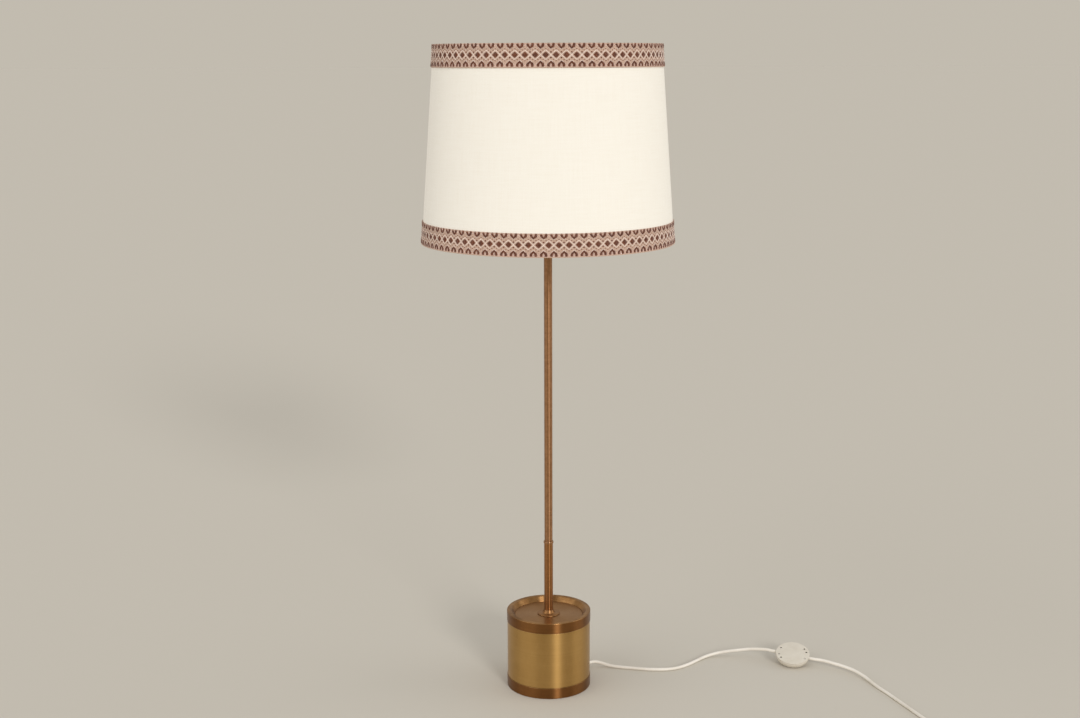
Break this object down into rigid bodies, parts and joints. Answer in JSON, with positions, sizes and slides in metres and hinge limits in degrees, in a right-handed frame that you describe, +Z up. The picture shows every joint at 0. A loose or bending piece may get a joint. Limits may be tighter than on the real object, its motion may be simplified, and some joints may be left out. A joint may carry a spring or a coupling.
{
  "type": "floor lamp",
  "caption": "Floor lamp: weighted bronzed-brass drum base, telescopic stem, cone fabric shade edged with woven diamond braid, cord with foot switch and plug.",
  "frame": {"origin": "middle of the felt under the base, on the floor", "axes": "+Z up along the stem, +X to the right and +Y to the back as pictured"},
  "size_m": [0.9262, 0.5437, 1.187],
  "materials": {
    "felt": "dark pressed felt",
    "zinc_steel": "zinc-plated steel",
    "bronzed_brass": "turned brass, dark bronze tone, satin gloss",
    "lacquered_brass": "lacquered sheet brass",
    "satin_bronze": "satin bronze",
    "cast_iron": "raw casting",
    "stem_brass": "drawn tube, copper-toned lacquer",
    "white_plastic": "moulded, aged white",
    "cord_pvc": "extruded PVC sheath",
    "nylon": "natural nylon",
    "porcelain": "glazed ceramic",
    "opal_glass": "opal",
    "bulb_cap_metal": "nickel-bright metal",
    "shade_fabric": "cream cotton laminated to white film",
    "braid": "woven braid, cream ground with maroon diamonds",
    "coated_wire": "white epoxy-coated wire"
  },
  "bodies": {
    "base": {"floor_felt": "felt", "bottom_plate": "zinc_steel", "plate_screw_1": "zinc_steel", "plate_screw_2": "zinc_steel", "plate_screw_3": "zinc_steel", "bottom_ring": "bronzed_brass", "base_shell": "lacquered_brass", "top_ring": "bronzed_brass", "top_plate": "satin_bronze", "stem_rosette": "bronzed_brass", "ballast_weight": "cast_iron", "clamp_washer": "zinc_steel", "clamp_nut": "zinc_steel", "spacer_tube": "zinc_steel", "sleeve_plug": "stem_brass", "stem_sleeve": "stem_brass", "sleeve_collar": "stem_brass", "cord_grommet": "white_plastic", "base_flex": "cord_pvc", "switch_plate": "white_plastic", "switch_cover": "white_plastic", "switch_block": "porcelain", "plug_relief": "white_plastic", "plug_body": "white_plastic", "plug_pin_1": "bulb_cap_metal", "plug_pin_2": "bulb_cap_metal", "cord_base_to_switch": "cord_pvc", "cord_switch_to_coil": "cord_pvc", "cord_coil": "cord_pvc", "coil_strap": "nylon"},
    "stem": {"stem_tube": "stem_brass", "tube_foot": "stem_brass", "friction_ring": "nylon", "stem_flex": "cord_pvc", "holder_nipple": "zinc_steel", "holder_cap": "white_plastic", "holder_skirt": "white_plastic", "holder_insert": "porcelain", "screw_shell": "lacquered_brass", "centre_contact": "lacquered_brass", "shade_nut_lower": "white_plastic", "shade_nut_upper": "white_plastic"},
    "shade": {"shade_cover": "shade_fabric", "trim_band_top": "braid", "trim_band_bottom": "braid", "top_wire_ring": "coated_wire", "bottom_wire_ring": "coated_wire", "fitter_ring": "coated_wire", "spider_arm_1": "coated_wire", "spider_arm_2": "coated_wire", "spider_arm_3": "coated_wire"},
    "bulb_tip": {"bulb_contact": "bulb_cap_metal"},
    "bulb": {"bulb_cap": "bulb_cap_metal", "bulb_glass": "opal_glass"},
    "button": {"switch_button": "white_plastic"}
  },
  "joints": [
    {"name": "stem_slide", "type": "slide", "parent": "base", "child": "stem", "axis": [0, 0, 1], "range_m": [0, 0.15]},
    {"name": "shade_turn", "type": "hinge", "parent": "stem", "child": "shade", "pos_m": [0, 0, 0.9365], "axis": [0, 0, 1], "continuous": true},
    {"name": "bulb_rise", "type": "slide", "parent": "stem", "child": "bulb_tip", "axis": [0, 0, 1], "range_m": [0, 0.0109]},
    {"name": "bulb_turn", "type": "hinge", "parent": "bulb_tip", "child": "bulb", "pos_m": [0, 0, 0.95], "axis": [0, 0, 1], "range_deg": [0, 1080]},
    {"name": "switch_press", "type": "slide", "parent": "base", "child": "button", "axis": [-0.0365, -0.3074, 0.9509], "range_m": [0, 0.003], "stiffness_N_per_m": 400, "springref_m": -0.001}
  ],
  "couplings": [
    {"joint": "bulb_rise", "follows": "bulb_turn", "m_per_rad": 0.00057614}
  ]
}
